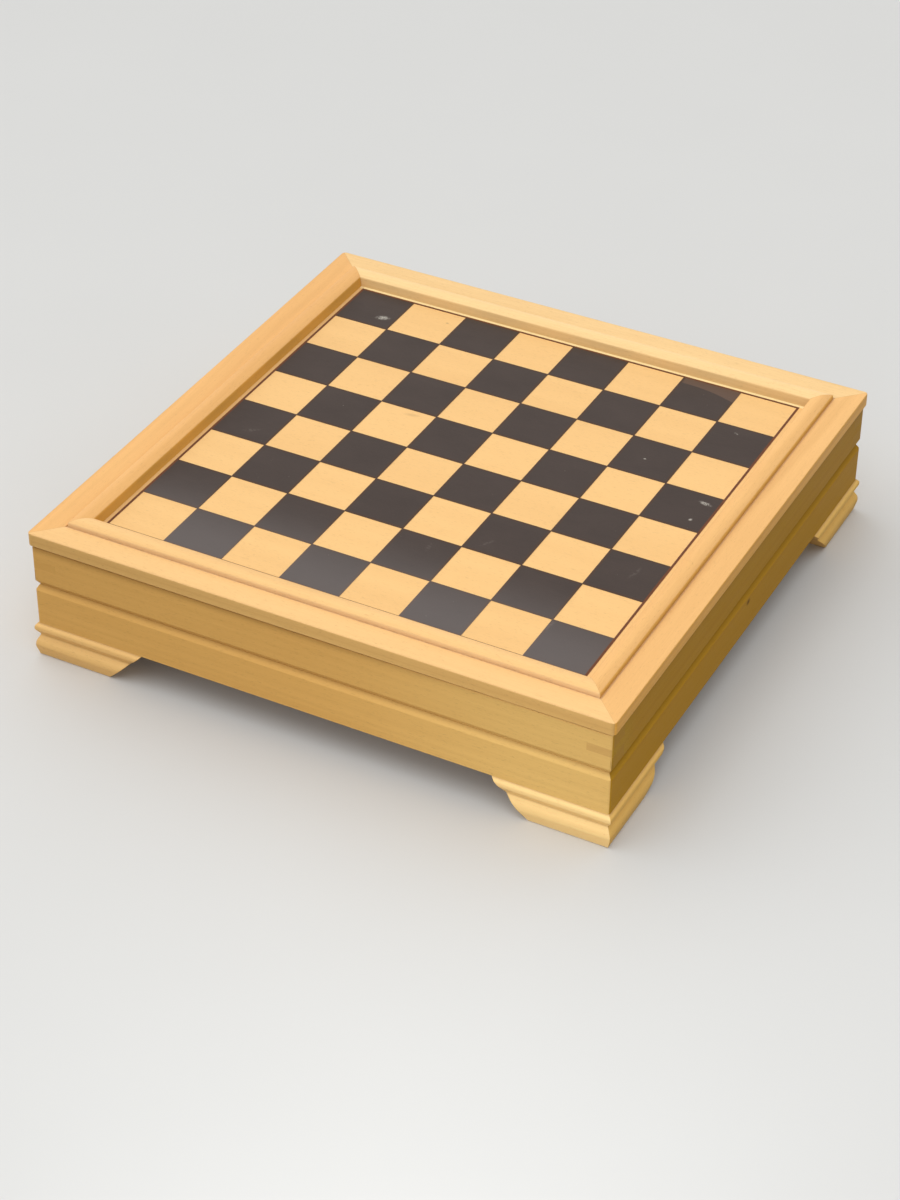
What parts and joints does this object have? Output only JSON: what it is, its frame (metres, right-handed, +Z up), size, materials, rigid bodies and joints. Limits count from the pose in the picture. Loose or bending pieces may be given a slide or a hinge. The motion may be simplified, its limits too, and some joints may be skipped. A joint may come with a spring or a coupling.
{
  "type": "games compendium box",
  "caption": "Square pine games box: a framed chequered playing board lifts off a divided finger-jointed tray, which stands on a divided base with moulded bracket feet.",
  "frame": {"origin": "on the surface that the feet stand on, under the middle of the box", "axes": "+X to the right along the front, +Y to the back, +Z up"},
  "size_m": [0.2922, 0.2922, 0.0712],
  "materials": {
    "case_wood": "clear satin lacquer on pale pine",
    "board_wood": "clear satin lacquer on pale wood panel",
    "dark_print": "dark brown paint on wood, slightly worn",
    "floor_ply": "bare thin plywood",
    "inner_wood": "bare pine strip"
  },
  "bodies": {
    "base": {"base_wall_front": "case_wood", "base_wall_back": "case_wood", "base_wall_left": "case_wood", "base_wall_right": "case_wood", "base_floor": "floor_ply", "base_divider_long_1": "inner_wood", "base_divider_cross_1": "inner_wood", "foot_front_left_front": "case_wood", "foot_front_left_left": "case_wood", "foot_front_right_front": "case_wood", "foot_front_right_right": "case_wood", "foot_back_right_back": "case_wood", "foot_back_right_right": "case_wood", "foot_back_left_back": "case_wood", "foot_back_left_left": "case_wood", "corner_block_front_left": "inner_wood", "corner_block_front_right": "inner_wood", "corner_block_back_right": "inner_wood", "corner_block_back_left": "inner_wood"},
    "tray": {"tray_wall_front": "case_wood", "tray_wall_back": "case_wood", "tray_wall_left": "case_wood", "tray_wall_right": "case_wood", "tray_floor": "floor_ply", "tray_divider_long_1": "inner_wood", "tray_divider_cross_1": "inner_wood", "tray_divider_cross_2": "inner_wood"},
    "board": {"board_rail_front": "case_wood", "board_rail_back": "case_wood", "board_rail_left": "case_wood", "board_rail_right": "case_wood", "board_panel": "board_wood", "dark_squares": "dark_print", "border_line": "dark_print", "board_batten_front": "inner_wood", "board_batten_back": "inner_wood", "board_batten_left": "inner_wood", "board_batten_right": "inner_wood"}
  },
  "joints": [
    {"name": "tray_lift", "type": "slide", "parent": "base", "child": "tray", "axis": [0, 0, 1], "range_m": [0, 0.08]},
    {"name": "board_lift", "type": "slide", "parent": "tray", "child": "board", "axis": [0, 0, 1], "range_m": [0, 0.08]}
  ]
}
